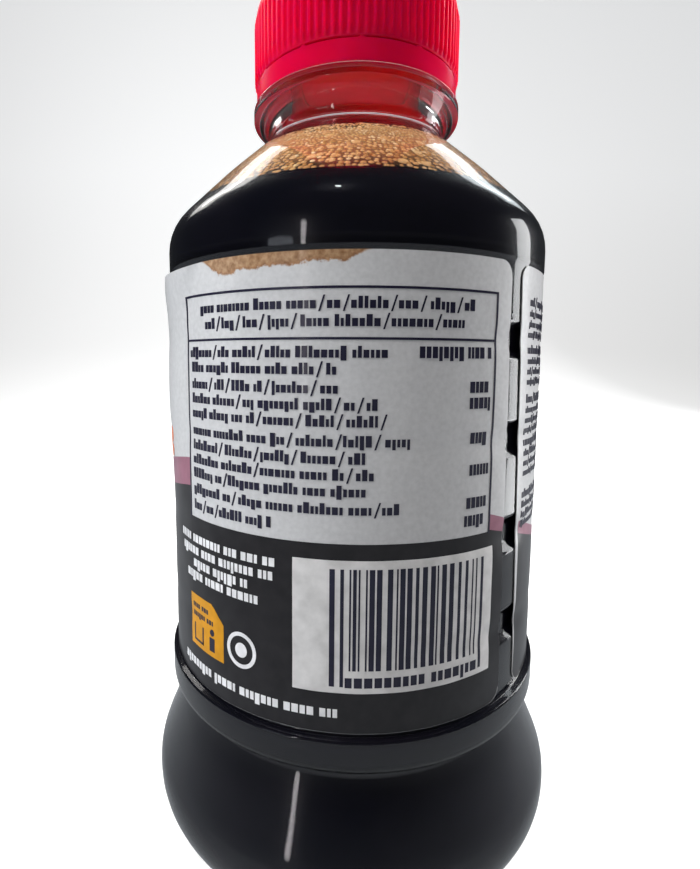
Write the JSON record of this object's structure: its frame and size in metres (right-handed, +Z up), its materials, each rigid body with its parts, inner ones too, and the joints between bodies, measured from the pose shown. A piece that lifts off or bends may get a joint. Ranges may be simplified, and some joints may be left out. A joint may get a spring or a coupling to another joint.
{
  "type": "soy sauce bottle",
  "caption": "Clear round bottle of dark sauce with a foam layer, a wrap-around label and a red screw cap; stands on its base.",
  "frame": {"origin": "middle of the base, on the plane the bottle stands on", "axes": "+Z up along the bottle's axis, -Y towards the side of the label with the table and the stripe panel, +X to the right of that side"},
  "size_m": [0.082, 0.082, 0.1566],
  "materials": {
    "clear_bottle": "glossy clear plastic",
    "sauce": "near-black liquid",
    "foam": "wet amber bubbles",
    "label": "satin printed label",
    "cap": "semi-gloss red plastic"
  },
  "bodies": {
    "root": {"bottle": "clear_bottle", "soy_sauce": "sauce", "foam": "foam", "label": "label", "tamper_band": "cap", "cap": "cap"}
  },
  "joints": []
}
